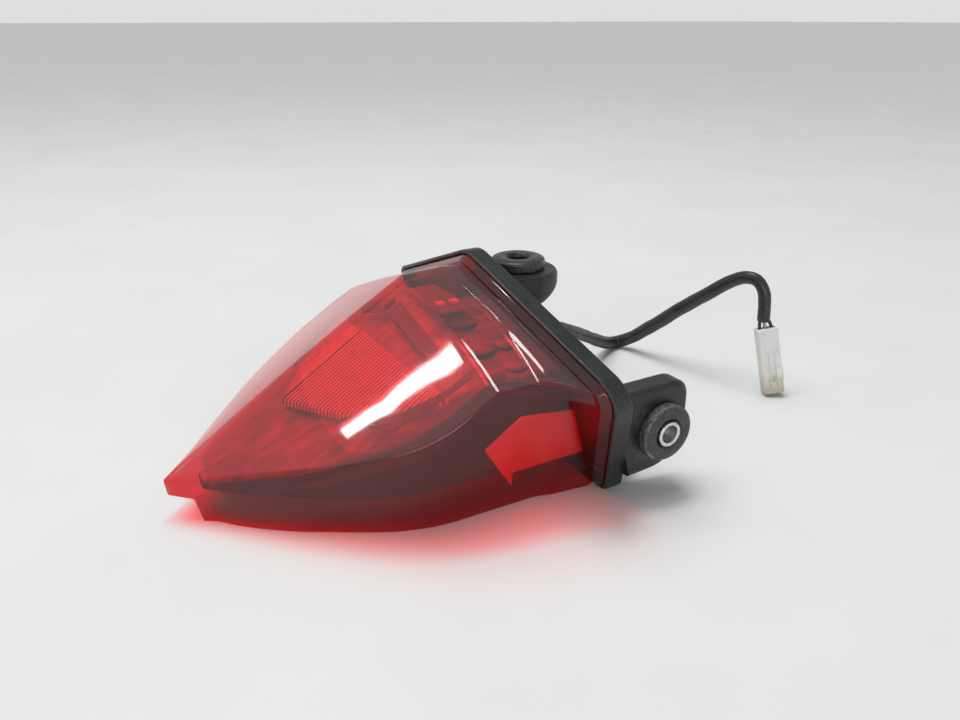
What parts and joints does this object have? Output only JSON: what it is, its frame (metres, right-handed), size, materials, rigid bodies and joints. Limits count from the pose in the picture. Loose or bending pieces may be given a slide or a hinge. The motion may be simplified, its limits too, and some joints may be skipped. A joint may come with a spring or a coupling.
{
  "type": "tail light",
  "caption": "Motorcycle tail light: a pointed red lens on a black housing with three rubber-mounted lugs and a short pigtail with a connector.",
  "frame": {"origin": "middle of the flat face that it rests on, without its pigtail", "axes": "+X from the lens tip to the mounting lugs, +Y to the cable exit's side, +Z from the resting face to the crown of the lens"},
  "size_m": [0.2528, 0.1532, 0.0755],
  "materials": {
    "lens": "polished clear red",
    "housing": "satin black moulding",
    "rubber": "satin black rubber",
    "zinc": "zinc plated",
    "sealant": "matt",
    "carrier": "satin deep red",
    "diffuser": "ribbed clear red",
    "reflector": "satin",
    "board": "satin solder mask",
    "led": "satin",
    "component": "satin",
    "nylon": "satin translucent",
    "brass": "tinned",
    "vinyl": "satin",
    "grey_insulation": "satin",
    "brown_insulation": "satin"
  },
  "bodies": {
    "root": {"board_header": "nylon", "board_screw_1": "zinc", "board_screw_2": "zinc", "board_screw_3": "zinc", "board_screw_4": "zinc", "cable_gland": "rubber", "connector_housing": "nylon", "cord": "vinyl", "crown_board": "board", "crown_led_1": "led", "crown_led_2": "led", "diffuser_left": "diffuser", "diffuser_right": "diffuser", "diode": "component", "driver_chip": "component", "fin_strip_left": "diffuser", "fin_strip_right": "diffuser", "grommet_left": "rubber", "grommet_right": "rubber", "grommet_top": "rubber", "housing": "housing", "inner_carrier": "carrier", "inner_lead_1": "vinyl", "inner_lead_2": "vinyl", "inner_lead_3": "vinyl", "lens": "lens", "light_bar_left": "diffuser", "light_bar_right": "diffuser", "main_board": "board", "main_led_01": "led", "main_led_02": "led", "main_led_03": "led", "main_led_04": "led", "main_led_05": "led", "main_led_06": "led", "main_led_07": "led", "main_led_08": "led", "main_led_09": "led", "main_led_10": "led", "seal_bead": "sealant", "side_reflector_left": "reflector", "side_reflector_right": "reflector", "sleeve_left": "zinc", "sleeve_right": "zinc", "terminal_1": "brass", "terminal_2": "brass", "terminal_3": "brass", "vent_cap": "housing", "wire_black": "vinyl", "wire_brown": "brown_insulation", "wire_grey": "grey_insulation"}
  },
  "joints": []
}
